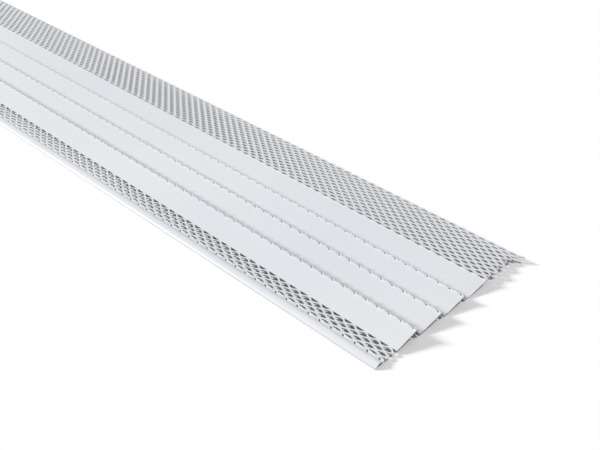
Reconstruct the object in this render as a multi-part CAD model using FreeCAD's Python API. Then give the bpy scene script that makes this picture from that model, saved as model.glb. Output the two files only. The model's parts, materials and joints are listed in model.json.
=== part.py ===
# Gutter guard: one length of roll-formed aluminium sheet, slit and stretched in bands.
# From front to back it has a rounded nose, a narrow band of expanded mesh, four sloping
# strips with a steep band of mesh stepping down behind each of the first three, and a wide
# band of mesh that ends in a cut edge.
# It lies on a level floor on its nose and its last trough, with its front to -Y.
import math
import os

import FreeCAD
import Part
from FreeCAD import Vector

# Sheet and length, in millimetres
length = 914.4
sheet_thickness = 0.6

# Strands of the mesh, rolled flat again: they stand a little above and below the sheet
strand_height = 0.75
strand_crown = 0.1
front_strand_width = 1.4
back_strand_width = 1.8

# Hollow nose: its two edges are this far, in degrees, from its highest point
nose_radius = 4.7
nose_front_turn = 72.0
nose_back_turn = 45.0
nose_strips = 3

# Sloping strips and the steps behind them, measured level and upright
front_strip_depth = 17.6
front_strip_rise = 5.2
front_step_drop = 5.7
middle_strip_depth = 21.4
rear_strip_depth = 24.8
strip_rise = 4.6
step_run = 6.6
step_drop = 4.7

# Bands of expanded mesh: the pitch runs along the length, the rows across it
mesh_pitch_wanted = 7.8
front_mesh_rows = 5
front_mesh_depth = 11.9
front_mesh_rise = 0.3
step_mesh_rows = 3
rear_mesh_rows = 15
rear_mesh_depth = 51.0

# Each mesh band is made in lengths of at most this many crossings
crossings_per_length = 450

# A whole number of meshes fills the length
mesh_columns = round(length / mesh_pitch_wanted)
mesh_pitch = length / mesh_columns

# Every edge of sheet or mesh that meets another is cut upright
along = Vector(1, 0, 0)
upright = Vector(0, 0, 1)


def strip_joints():
    """Front and back edges of the strips on their top side, front strip first."""
    strips = [
        (front_strip_depth, front_strip_rise, front_step_drop),
        (middle_strip_depth, strip_rise, step_drop),
        (middle_strip_depth, strip_rise, step_drop),
        (rear_strip_depth, strip_rise, step_drop),
    ]
    joints = []
    front = Vector(0, front_mesh_depth, front_mesh_rise)
    for depth, rise, drop in strips:
        back = front + Vector(0, depth, rise)
        joints.append((front, back))
        front = back + Vector(0, step_run, -drop)
    return joints


def extrude_along(section):
    """Sheet of the full length from a closed section, centred on the middle."""
    solid = section.extrude(along * length)
    solid.translate(along * (-length / 2))
    return solid


def strip(front, back):
    """Flat sloping strip with upright edges."""
    normal = along.cross(back - front).normalize()
    edge = upright * (sheet_thickness / upright.dot(normal))
    corners = [front, back, back - edge, front - edge]
    return extrude_along(Part.Face(Part.makePolygon(corners, True)))


def spoke(turn):
    """Unit direction from the nose's centre, turned forward from straight up."""
    angle = math.radians(turn)
    return Vector(0, -math.sin(angle), math.cos(angle))


def nose_point(radius, turn):
    """Point of the nose, whose back edge is the section's zero point."""
    return spoke(turn) * radius - spoke(-nose_back_turn) * nose_radius


def nose_back_foot():
    """Lower corner of the nose's upright back edge, on the inside of the nose."""
    rise = nose_radius * math.cos(math.radians(nose_back_turn))
    run = nose_radius * math.sin(math.radians(nose_back_turn))
    inner_rise = math.sqrt((nose_radius - sheet_thickness) ** 2 - run ** 2)
    return upright * (inner_rise - rise)


def nose_strip(start, end):
    """Curved strip of the nose between two turns from its highest point."""
    turns = (start, (start + end) / 2, end)
    outer = [nose_point(nose_radius, turn) for turn in turns]
    inner = [nose_point(nose_radius - sheet_thickness, turn) for turn in turns]
    if start == -nose_back_turn:
        inner[0] = nose_back_foot()
    edges = [
        Part.Arc(*outer),
        Part.LineSegment(outer[-1], inner[-1]),
        Part.Arc(*inner),
        Part.LineSegment(inner[0], outer[0]),
    ]
    return extrude_along(Part.Face(Part.Wire([edge.toShape() for edge in edges])))


def nose():
    """Plain border in front of the mesh, rolled into a hollow nose, back strip first."""
    step = (nose_front_turn + nose_back_turn) / nose_strips
    turns = [step * number - nose_back_turn for number in range(nose_strips + 1)]
    return [nose_strip(start, end) for start, end in zip(turns, turns[1:])]


def diamond(place, distance, row_step, strand_width):
    """Left, front, right and back corners of a hole, each as a place along and across."""
    half_pitch = mesh_pitch / 2
    inset = strand_width / 2 * math.hypot(half_pitch, row_step) / (half_pitch * row_step)
    half_length = half_pitch * (1 - inset)
    half_depth = row_step * (1 - inset)
    left = (place - half_length, distance)
    front = (place, distance - half_depth)
    right = (place + half_length, distance)
    back = (place, distance + half_depth)
    return left, front, right, back


def mesh_outline(rows, row_step, strand_width, first_column, last_column):
    """Outline of one length of mesh, notched by the holes that its edges cut in half."""
    depth = rows * row_step
    cut_rows = range(1, rows + 1, 2)

    def hole(column, row):
        return diamond(column * mesh_pitch, row * row_step, row_step, strand_width)

    points = [(first_column * mesh_pitch, 0)]
    for column in range(first_column, last_column):
        left, front, right, back = hole(column + 0.5, 0)
        points += [left, back, right]
    points.append((last_column * mesh_pitch, 0))
    for row in cut_rows:
        left, front, right, back = hole(last_column, row)
        points += [front, left, back]
    for column in reversed(range(first_column + 1, last_column)):
        left, front, right, back = hole(column, rows)
        points += [right, front, left]
    for row in reversed(cut_rows):
        left, front, right, back = hole(first_column, row)
        points += [back, right, front]
    return [(place, distance) for place, distance in points if distance <= depth]


def strand_foot(joint):
    """Lower edge of the strands that meet the sheet at a joint on its top side."""
    return joint - upright * (strand_height - strand_crown)


def mesh_length(front, back, rows, strand_width, first_column, last_column):
    """One length of a mesh band: a flat sheet with diamonds cut upright through it.

    Rows are staggered by half a pitch and there is an odd number of them, so the band's
    edges halve the holes of its first and last rows, and its ends those of every second row.
    """
    base = strand_foot(front) - along * (length / 2)
    run = (back - front).normalize()
    row_step = (back - front).Length / rows

    def wire(points):
        corners = [base + along * place + run * distance for place, distance in points]
        return Part.makePolygon(corners, True)

    wires = [wire(mesh_outline(rows, row_step, strand_width, first_column, last_column))]
    for row in range(1, rows):
        stagger = row % 2
        for column in range(first_column + stagger, last_column):
            place = (column + (1 - stagger) / 2) * mesh_pitch
            hole = diamond(place, row * row_step, row_step, strand_width)
            wires.append(wire(hole[::-1]))
    return Part.Face(wires).extrude(upright * strand_height)


def mesh_band(front, back, rows, strand_width):
    """All the lengths of one mesh band, meeting at the bonds between their diamonds."""
    pieces = math.ceil(mesh_columns * rows / crossings_per_length)
    cuts = [mesh_columns * piece // pieces for piece in range(pieces + 1)]
    ends = zip(cuts, cuts[1:])
    return [mesh_length(front, back, rows, strand_width, start, end) for start, end in ends]


def lay_on_floor(shapes):
    """Turn the guard onto its nose and its last trough, centred over the origin."""
    nose_foot = nose_point(nose_radius - sheet_thickness, nose_front_turn)
    last_trough = strand_foot(joints[-1][0])
    tilt = math.degrees(math.atan2(last_trough.z - nose_foot.z, last_trough.y - nose_foot.y))
    for shape in shapes:
        shape.rotate(nose_foot, along, -tilt)
    box = Part.makeCompound(shapes).BoundBox
    for shape in shapes:
        shape.translate(Vector(-box.Center.x, -box.Center.y, -box.ZMin))


# The joint of the nose and the front mesh is the section's own zero point
joints = strip_joints()
front_mesh_start = Vector(0, 0, 0)
rear_mesh_start = joints[-1][1]
rear_mesh_end = rear_mesh_start + Vector(0, rear_mesh_depth, 0)

step_meshes = []
for (front, crest), (trough, back) in zip(joints, joints[1:]):
    step_meshes += mesh_band(crest, trough, step_mesh_rows, back_strand_width)

groups = {
    "nose": nose(),
    "front_mesh": mesh_band(front_mesh_start, joints[0][0], front_mesh_rows, front_strand_width),
    "strip": [strip(front, back) for front, back in joints],
    "step_mesh": step_meshes,
    "rear_mesh": mesh_band(rear_mesh_start, rear_mesh_end, rear_mesh_rows, back_strand_width),
}
nodes = {}
for group, solids in groups.items():
    for number, solid in enumerate(solids, 1):
        nodes[f"{group}_{number}"] = solid
lay_on_floor(list(nodes.values()))

os.makedirs("parts", exist_ok=True)
for name, solid in nodes.items():
    solid.exportStep(f"parts/{name}.step")
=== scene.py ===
import json
import math

import bmesh
import bpy
from mathutils import Matrix, Vector


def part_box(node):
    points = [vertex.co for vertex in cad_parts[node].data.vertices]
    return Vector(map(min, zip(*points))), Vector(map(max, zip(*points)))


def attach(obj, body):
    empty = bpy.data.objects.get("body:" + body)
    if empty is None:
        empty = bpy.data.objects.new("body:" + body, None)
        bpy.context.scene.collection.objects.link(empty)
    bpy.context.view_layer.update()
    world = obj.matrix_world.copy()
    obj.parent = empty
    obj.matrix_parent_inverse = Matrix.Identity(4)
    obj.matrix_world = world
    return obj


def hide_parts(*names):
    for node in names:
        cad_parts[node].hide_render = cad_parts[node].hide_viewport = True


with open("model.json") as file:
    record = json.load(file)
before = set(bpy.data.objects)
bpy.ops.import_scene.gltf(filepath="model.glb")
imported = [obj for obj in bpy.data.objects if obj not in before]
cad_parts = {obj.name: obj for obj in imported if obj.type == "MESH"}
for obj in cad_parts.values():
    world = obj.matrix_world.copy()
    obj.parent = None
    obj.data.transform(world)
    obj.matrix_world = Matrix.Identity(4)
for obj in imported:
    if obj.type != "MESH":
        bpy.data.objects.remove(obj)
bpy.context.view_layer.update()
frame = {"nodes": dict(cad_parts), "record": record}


# Nose: the plain front border of the sheet, rolled round into a hollow with a rounded top.
# It is the same coated sheet as all the rest. Short slanting slits run in from its back edge,
# one to each pitch of the mesh, and the metal beside each slit is drawn up into a small lip.
sheet_thickness = 0.0006
nose_radius = 0.00386
nose_back_slope = math.radians(32)
nose_front_slope = math.radians(72)
nose_back_drop = 0.001377
nose_margin = 0.0014
nose_bend = 0.0007
nose_steps = 32
nose_lip_height = 0.0005
nose_slit_depth = 0.0018
nose_slit_steps = 5
slit_slant = 0.75
lip_taper = 1.2
sharp_bend = math.radians(50)
mesh_columns = 117

# Each pitch of a back edge, as places along it with the lip's rise and the slit's slant there.
# The slit lies between the last two places.
lip_columns = [
    (0, 1, 0),
    (0.0016, 0.7, 0),
    (0.0034, 0.25, 0),
    (0.0046, 0, 0.5),
    (0.0057, 0, 1),
    (0.0067, 1, 1),
]
lip_places = [column[0] for column in lip_columns]

# Directions and length come from the frame: the sheet lies a little tilted on its floor.
along = Vector((1, 0, 0))
nose_hook = frame["record"]["mounts"][0]
upright = -Vector(nose_hook["axis"])
level = upright.cross(along)
nose_low, nose_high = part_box("nose_1")
length = nose_high.x - nose_low.x
mesh_pitch = length / mesh_columns

# Coated aluminium: coil-coated before it is slit and rolled, so the coating is thin, satin
# and off-white, with a fine orange peel and faint lines along the rolling direction, and
# every cut edge is bare metal: grey, a little rough from the shear, and not painted.
coating_dark = "#DADDE1"
coating_light = "#E0E2E6"
sheared_metal = "#A9ACB0"
coating_roughness = (0.36, 0.46)
coating_ior = 1.5
peel_size = 0.0009
peel_height = 0.0001
peel_strength = 0.12
rolling_line_width = 0.0012
rolling_line_length = 0.3
rolling_share = 0.25
tone_patch_size = 0.16
tone_range = (0.45, 0.8)


def linear(hex_colour):
    """Linear colour of an sRGB hex value."""
    channels = [int(hex_colour[i:i + 2], 16) / 255 for i in (1, 3, 5)]
    return [c / 12.92 if c <= 0.04045 else ((c + 0.055) / 1.055) ** 2.4 for c in channels] + [1.0]


def add_node(material, kind, settings=None, **links):
    """New shader node with its settings, and its inputs set or linked by name.

    An input without a name of its own goes by its number, as in i0.
    """
    node = material.node_tree.nodes.new(kind)
    for name, value in (settings or {}).items():
        setattr(node, name, value)
    for name, value in links.items():
        socket = node.inputs[int(name[1:]) if name[1:].isdigit() else name.replace("_", " ")]
        if isinstance(value, bpy.types.NodeSocket):
            material.node_tree.links.new(value, socket)
        else:
            socket.default_value = value
    return node


coated_aluminium = bpy.data.materials.new("coated_aluminium")
coated_aluminium.use_nodes = True
surface = add_node(coated_aluminium, "ShaderNodeTexCoord").outputs["Object"]
patches = add_node(coated_aluminium, "ShaderNodeTexNoise",
                   Vector=surface, Scale=1 / tone_patch_size, Detail=2.0)
stretched = add_node(coated_aluminium, "ShaderNodeMapping", Vector=surface,
                     Scale=(1 / rolling_line_length, 1 / rolling_line_width, 1 / rolling_line_width))
rolling = add_node(coated_aluminium, "ShaderNodeTexNoise",
                   Vector=stretched.outputs[0], Scale=1.0, Detail=3.0)
tone = add_node(coated_aluminium, "ShaderNodeMath", {"operation": "MULTIPLY_ADD"},
                i0=rolling.outputs[0], i1=rolling_share, i2=patches.outputs[0])
colour = add_node(coated_aluminium, "ShaderNodeValToRGB", Fac=tone.outputs[0])
for stop, position, shade in zip(colour.color_ramp.elements, tone_range, (coating_dark, coating_light)):
    stop.position = position
    stop.color = linear(shade)
gloss = add_node(coated_aluminium, "ShaderNodeMapRange", Value=rolling.outputs[0],
                 To_Min=coating_roughness[0], To_Max=coating_roughness[1])
peel = add_node(coated_aluminium, "ShaderNodeTexNoise", Vector=surface, Scale=1 / peel_size, Detail=1.0)
skin = add_node(coated_aluminium, "ShaderNodeBump",
                Height=peel.outputs[0], Strength=peel_strength, Distance=peel_height)
bare = add_node(coated_aluminium, "ShaderNodeAttribute", {"attribute_name": "cut_edge"}).outputs["Fac"]
sheared = add_node(coated_aluminium, "ShaderNodeMix", {"data_type": "RGBA"},
                   i0=bare, i6=colour.outputs[0], i7=linear(sheared_metal))
coating = coated_aluminium.node_tree.nodes["Principled BSDF"]
coated_aluminium.node_tree.links.new(sheared.outputs[2], coating.inputs["Base Color"])
coated_aluminium.node_tree.links.new(bare, coating.inputs["Metallic"])
coated_aluminium.node_tree.links.new(gloss.outputs[0], coating.inputs["Roughness"])
coated_aluminium.node_tree.links.new(skin.outputs[0], coating.inputs["Normal"])
coating.inputs["IOR"].default_value = coating_ior


def as_piece(name, bm, *nodes):
    """Scene piece from a thin open surface: the sheet's thickness is added below it."""
    bmesh.ops.remove_doubles(bm, verts=bm.verts, dist=0.000001)
    bmesh.ops.recalc_face_normals(bm, faces=bm.faces)
    if sum(face.normal.z for face in bm.faces) < 0:
        bmesh.ops.reverse_faces(bm, faces=bm.faces)
    bm.normal_update()
    inward = {vertex: -vertex.normal * sheet_thickness for vertex in bm.verts}
    bmesh.ops.extrude_face_region(bm, geom=bm.faces[:])
    cut_edge = bm.faces.layers.float.new("cut_edge")
    for face in bm.faces:
        face[cut_edge] = float(0 < sum(vertex in inward for vertex in face.verts) < len(face.verts))
    for vertex, offset in inward.items():
        vertex.co += offset
    bmesh.ops.recalc_face_normals(bm, faces=bm.faces)
    mesh = bpy.data.meshes.new(name)
    bm.to_mesh(mesh)
    bm.free()
    mesh.shade_smooth()
    mesh.set_sharp_from_angle(angle=sharp_bend)
    mesh.materials.append(coated_aluminium)
    piece = bpy.data.objects.new(name, mesh)
    bpy.context.scene.collection.objects.link(piece)
    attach(piece, "root")
    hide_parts(*nodes)


def sheet_grid(bm, steps_across, places):
    """Grid of a strip or strand: its vertices with the place along, step and place across.

    The places along are the same in every pitch of the mesh.
    """
    segments = mesh_columns * len(places)
    made = bmesh.ops.create_grid(bm, x_segments=segments, y_segments=steps_across, size=0.5)
    vertices = []
    for vertex in made["verts"]:
        column, step = divmod(round((vertex.co.x + 0.5) * segments), len(places))
        x = column * mesh_pitch + places[step] - length / 2
        vertices.append((vertex, x, step, vertex.co.y + 0.5))
    return vertices


def slit_edge(x, step, distance, slit_depth, lip_height):
    """Place along and height of a point at a distance from a back edge that has slits."""
    nearness = max(0, 1 - distance / slit_depth)
    rise, slant = lip_columns[step][1:]
    return x - slant * slit_slant * slit_depth * nearness, lip_height * rise * nearness ** lip_taper


def open_slits(bm, grid, steps_across, slit_steps):
    """Take away the faces of the slits, which reach some steps in from the grid's back edge."""
    slit_sides = {vertex for vertex, x, step, across in grid if step >= len(lip_columns) - 2}
    reach = slit_steps + 0.5
    near_edge = {vertex for vertex, x, step, across in grid if (1 - across) * steps_across < reach}
    slits = [face for face in bm.faces if all(v in slit_sides and v in near_edge for v in face.verts)]
    bmesh.ops.delete(bm, geom=slits, context="FACES")


def nose_slope(distance):
    """Slope of the nose's section towards the front, at a distance from its back edge."""
    if distance < nose_margin:
        return 0
    if distance < nose_margin + nose_bend:
        return nose_back_slope * (distance - nose_margin) / nose_bend
    return nose_back_slope - (distance - nose_margin - nose_bend) / nose_radius


nose_round = nose_radius * (nose_back_slope + nose_front_slope)
nose_width = nose_margin + nose_bend + nose_round
nose_back = Vector((0, nose_high.y, nose_high.z - nose_back_drop))
section = [nose_back]
for step in range(nose_steps):
    slope = nose_slope((step + 0.5) * nose_width / nose_steps)
    forward = upright * math.sin(slope) - level * math.cos(slope)
    section.append(section[-1] + forward * nose_width / nose_steps)
bm = bmesh.new()
grid = sheet_grid(bm, nose_steps, lip_places)
for vertex, x, step, across in grid:
    from_back = round((1 - across) * nose_steps)
    distance = from_back * nose_width / nose_steps
    place, rise = slit_edge(x, step, distance, nose_slit_depth, nose_lip_height)
    vertex.co = section[from_back] + upright * rise + along * place
open_slits(bm, grid, nose_steps, nose_slit_steps)
as_piece("nose", bm, "nose_1", "nose_2", "nose_3")


# Sloping strips: plain bands of the same coated sheet between the mesh bands, rolled flat.
# The back edges of the first three have slits and lips like the nose's, where the next mesh
# begins. The last has low lips only, and ends a little early, where the rear mesh begins.
strip_count = 4
strip_steps = 10
strip_slit_depth = 0.0012
strip_slit_steps = 2
strip_lip_height = 0.0009
last_lip_height = 0.0004
rear_overlap = 0.0012


def strip_edges(node):
    """Front and back edges of a strip's top side, as places in the section."""
    vertices = frame["nodes"][node].data.vertices
    corners = sorted({(round(v.co.y, 6), round(v.co.z, 6)) for v in vertices})
    return Vector((0, *corners[1])), Vector((0, *corners[3]))


edges = [strip_edges(f"strip_{number}") for number in range(1, strip_count + 1)]
last_front, rear_start = edges[-1]
edges[-1] = (last_front, rear_start + (last_front - rear_start).normalized() * rear_overlap)
for number, (front, crest) in enumerate(edges, 1):
    slope = crest - front
    lip_height = strip_lip_height if number < strip_count else last_lip_height
    bm = bmesh.new()
    grid = sheet_grid(bm, strip_steps, lip_places)
    for vertex, x, step, across in grid:
        from_crest = (1 - across) ** 2
        place, rise = slit_edge(x, step, from_crest * slope.length, strip_slit_depth, lip_height)
        vertex.co = crest - slope * from_crest + upright * rise + along * place
    if number < strip_count:
        open_slits(bm, grid, strip_steps, strip_slit_steps)
    as_piece(f"sloping_strip_{number}", bm, f"strip_{number}")


# Front mesh: a narrow band of the same sheet, slit in rows that are each half a pitch on from
# the last, pulled open into pointed holes and rolled flat again. The holes widen towards the
# first strip. Each row of slits has its distance from the nose and its opening.
front_half_slit = 0.0028
front_rows = [
    (0, 0),
    (0.0012, 0.0015),
    (0.0037, 0.0025),
    (0.0062, 0.0025),
    (0.0087, 0.0034),
    (0.0119, 0.0044),
]
strand_steps = 2

# Places and rises of the lips along a strip's back edge, up to the start of the next pitch
crest_lips = [(at - slant * slit_slant * strip_slit_depth, rise) for at, rise, slant in lip_columns]
crest_lips.append((mesh_pitch, crest_lips[0][1]))


def bulge(x, half_length, shift):
    """Rounded rise from 0 to 1 and back over each slit; shift moves it by parts of a pitch."""
    offset = ((x + length / 2) / mesh_pitch - shift + 0.5) % 1 - 0.5
    reach = abs(offset) * mesh_pitch / half_length
    return math.cos(reach * math.pi / 2) if reach < 1 else 0.0


def lip_rise(x):
    """Rise of the lips at a place along a strip's back edge, as a part of their height."""
    place = (x + length / 2) % mesh_pitch
    for (start, low), (end, high) in zip(crest_lips, crest_lips[1:]):
        if place <= end:
            return low + (high - low) * (place - start) / (end - start)


def mesh_band(front, back, rows, half_slit, lip_height=0.0):
    """Band of mesh from a front edge, where its first strand rises to the lips, to a back edge.

    Its vertices come with the number of their strand, the place along and the place across.
    """
    run = (back - front).normalized()
    slit_end = mesh_pitch / 2 - half_slit
    rising = [0, slit_end, (slit_end + half_slit) / 2, half_slit]
    places = rising + [mesh_pitch / 2] + [mesh_pitch - place for place in rising[:0:-1]]
    bm = bmesh.new()
    vertices = []
    for number, (row, next_row) in enumerate(zip(rows, rows[1:])):
        shift = 0.5 if number % 2 == 0 else 0.0
        for vertex, x, step, across in sheet_grid(bm, strand_steps, places):
            strand_front = row[0] + row[1] / 2 * bulge(x, half_slit, shift)
            strand_back = next_row[0] - next_row[1] / 2 * bulge(x, half_slit, shift + 0.5)
            vertex.co = front + run * (strand_front + (strand_back - strand_front) * across) + along * x
            if number == 0:
                vertex.co += upright * lip_height * lip_rise(x) * (1 - across)
            vertices.append((vertex, number, x, across))
    return bm, vertices


bm, vertices = mesh_band(nose_back, edges[0][0], front_rows, front_half_slit)
as_piece("front_mesh", bm, "front_mesh_1", "front_mesh_2")


# Mesh steps: steep bands of the same expanded sheet, one behind each of the first three
# strips. Each drops from a strip's crest, where its first strand is joined to the lips, to
# the front edge of the next strip.
step_half_slit = 0.0028
step_opening = 0.0022
step_rows = 3

for number in range(1, strip_count):
    crest = edges[number - 1][1]
    trough = edges[number][0]
    row_step = (trough - crest).length / step_rows
    rows = [(row_step * row, step_opening) for row in range(step_rows + 1)]
    bm, vertices = mesh_band(crest, trough, rows, step_half_slit, strip_lip_height)
    as_piece(f"mesh_step_{number}", bm, f"step_mesh_{number}")


# Rear mesh: the wide level band of expanded sheet behind the last strip. Its near end was cut
# by hand with snips, so the strands there end unevenly and bent, and a scrap of the last
# strand still sticks out.
rear_depth = 0.051
rear_row_count = 15
rear_half_slit = 0.0026
rear_opening = 0.0027
rear_first_opening = 0.0034
rear_snips = [0, -0.001, 0.0005, -0.0017, -0.0004, -0.0021, -0.0012, 0.0004]
snip_droop = 0.4
scrap = along * 0.0034 + level * 0.0029
scrap_point = 0.2
scrap_crook = 12

rear_step = rear_depth / rear_row_count
rear_rows = [(-rear_overlap, rear_first_opening)]
rear_rows += [(rear_step * row, rear_opening) for row in range(1, rear_row_count + 1)]
rear_end = rear_start + level * rear_depth
bm, vertices = mesh_band(rear_start, rear_end, rear_rows, rear_half_slit, last_lip_height)
for vertex, number, x, across in vertices:
    nearness = 1 - (length / 2 - x) / (mesh_pitch / 2)
    if nearness > 0:
        vertex.co += (along + upright * snip_droop) * rear_snips[(number + 1) // 2] * nearness
    if nearness > 0 and number == rear_row_count - 1:
        vertex.co += scrap * nearness ** scrap_crook * (1 + scrap_point * (0.5 - across))
as_piece("rear_mesh", bm, "rear_mesh_1", "rear_mesh_2", "rear_mesh_3", "rear_mesh_4")


# Floor and light: a plain white floor and backdrop, a dim even sky, and two soft lamps, one
# from above and a low one from the front that leaves a grey band above each crest. The floor
# throws little light back at the sheet, and a second coat brings its lit part up to white.
floor_reach = 40
floor_white = "#FFFFFF"
floor_second_coat = "#595959"
floor_dim = "#505050"
floor_roughness = 0.9
sky_white = "#FFFFFF"
sky_strength = 0.2
lamp_spread = math.radians(12)
lamps = {"key": ((-0.25, -0.25, -1), 1.25), "fill": ((1.85, 1.8, -1), 3.0)}


def seen_rays(material):
    """1 for the rays that show the background: the camera's own, off metal or through glass."""
    rays = add_node(material, "ShaderNodeLightPath")
    seen = rays.outputs["Is Camera Ray"]
    for kind in ("Is Glossy Ray", "Is Transmission Ray"):
        largest = add_node(material, "ShaderNodeMath", {"operation": "MAXIMUM"},
                           i0=seen, i1=rays.outputs[kind])
        seen = largest.outputs[0]
    return seen


floor_mesh = bpy.data.meshes.new("floor")
bm = bmesh.new()
bmesh.ops.create_grid(bm, x_segments=1, y_segments=1, size=floor_reach)
bm.to_mesh(floor_mesh)
bm.free()
floor = bpy.data.objects.new("floor", floor_mesh)
bpy.context.scene.collection.objects.link(floor)
floor_paint = bpy.data.materials.new("floor_paint")
floor_paint.use_nodes = True
pale = floor_paint.node_tree.nodes["Principled BSDF"]
pale.inputs["Base Color"].default_value = linear(floor_white)
pale.inputs["Roughness"].default_value = floor_roughness
pale.inputs["Specular IOR Level"].default_value = 0.0
second_coat = add_node(floor_paint, "ShaderNodeBsdfDiffuse", Color=linear(floor_second_coat))
white = add_node(floor_paint, "ShaderNodeAddShader", i0=pale.outputs[0], i1=second_coat.outputs[0])
dim = add_node(floor_paint, "ShaderNodeBsdfDiffuse", Color=linear(floor_dim))
shown = add_node(floor_paint, "ShaderNodeMixShader",
                 i0=seen_rays(floor_paint), i1=dim.outputs[0], i2=white.outputs[0])
floor_paint.node_tree.links.new(shown.outputs[0], floor_paint.node_tree.nodes["Material Output"].inputs[0])
floor_mesh.materials.append(floor_paint)

world = bpy.data.worlds.new("sky")
world.use_nodes = True
sky = world.node_tree.nodes["Background"]
sky.inputs["Color"].default_value = linear(sky_white)
sky.inputs["Strength"].default_value = sky_strength
backdrop = add_node(world, "ShaderNodeBackground", Color=linear(sky_white))
shown = add_node(world, "ShaderNodeMixShader",
                 i0=seen_rays(world), i1=sky.outputs[0], i2=backdrop.outputs[0])
world.node_tree.links.new(shown.outputs[0], world.node_tree.nodes["World Output"].inputs[0])
bpy.context.scene.world = world

for name, (direction, energy) in lamps.items():
    lamp = bpy.data.lights.new(name, "SUN")
    lamp.energy = energy
    lamp.angle = lamp_spread
    lamp_object = bpy.data.objects.new(name, lamp)
    lamp_object.rotation_euler = Vector(direction).to_track_quat("-Z", "Y").to_euler()
    bpy.context.scene.collection.objects.link(lamp_object)


# Camera: the photograph's own view of the near end, from the front and above.
camera_place = Vector((0.5687, -0.34383, 0.21847))
camera_right = Vector((0.7576, 0.62755, 0.17945))
camera_forward = Vector((-0.493, 0.73035, -0.47283))
camera_up = camera_right.cross(camera_forward)
view = bpy.data.cameras.new("camera")
view.sensor_width = 36
view.lens = 41.976
view.clip_start = 0.01
camera = bpy.data.objects.new("camera", view)
axes = [camera_right.normalized(), camera_up.normalized(), -camera_forward.normalized()]
camera.matrix_world = Matrix.Translation(camera_place) @ Matrix(axes).transposed().to_4x4()
bpy.context.scene.collection.objects.link(camera)
bpy.context.scene.camera = camera

bpy.context.scene.view_settings.view_transform = "Standard"
